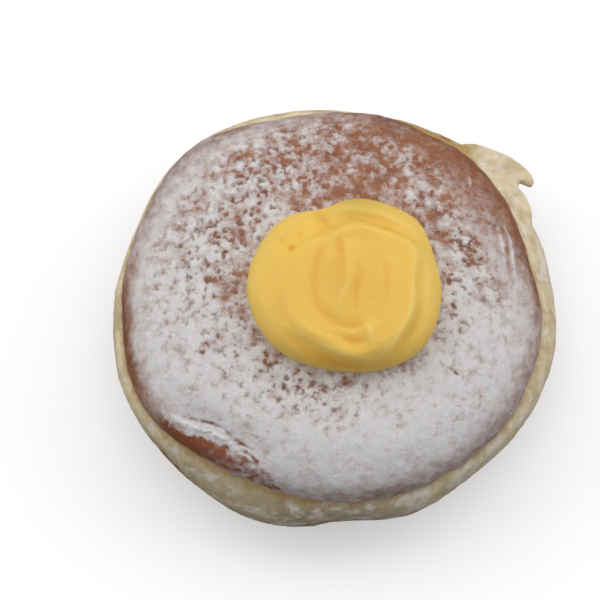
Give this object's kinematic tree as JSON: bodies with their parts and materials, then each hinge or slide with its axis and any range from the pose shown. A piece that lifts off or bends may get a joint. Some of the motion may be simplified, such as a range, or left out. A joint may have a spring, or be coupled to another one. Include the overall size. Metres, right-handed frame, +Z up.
{
  "type": "custard-filled doughnut",
  "caption": "Round fried doughnut with a pale band round its side, dusted with icing sugar, with custard piped on its top.",
  "frame": {"origin": "centre of the bounding box in plan, on the plane that the doughnut rests on", "axes": "+Z up, +X to the right and +Y to the rear of the doughnut as seen from its front"},
  "size_m": [0.0944, 0.0926, 0.0454],
  "materials": {
    "fried_dough": "brown fried crust with a matt pale band round the side, both dusted with white icing sugar",
    "custard": "smooth satin yellow cream with soft folds",
    "icing_sugar": "fine matt white icing sugar, dusted in patches with small lumps"
  },
  "bodies": {
    "root": {"dough": "fried_dough", "custard": "custard"}
  },
  "joints": []
}
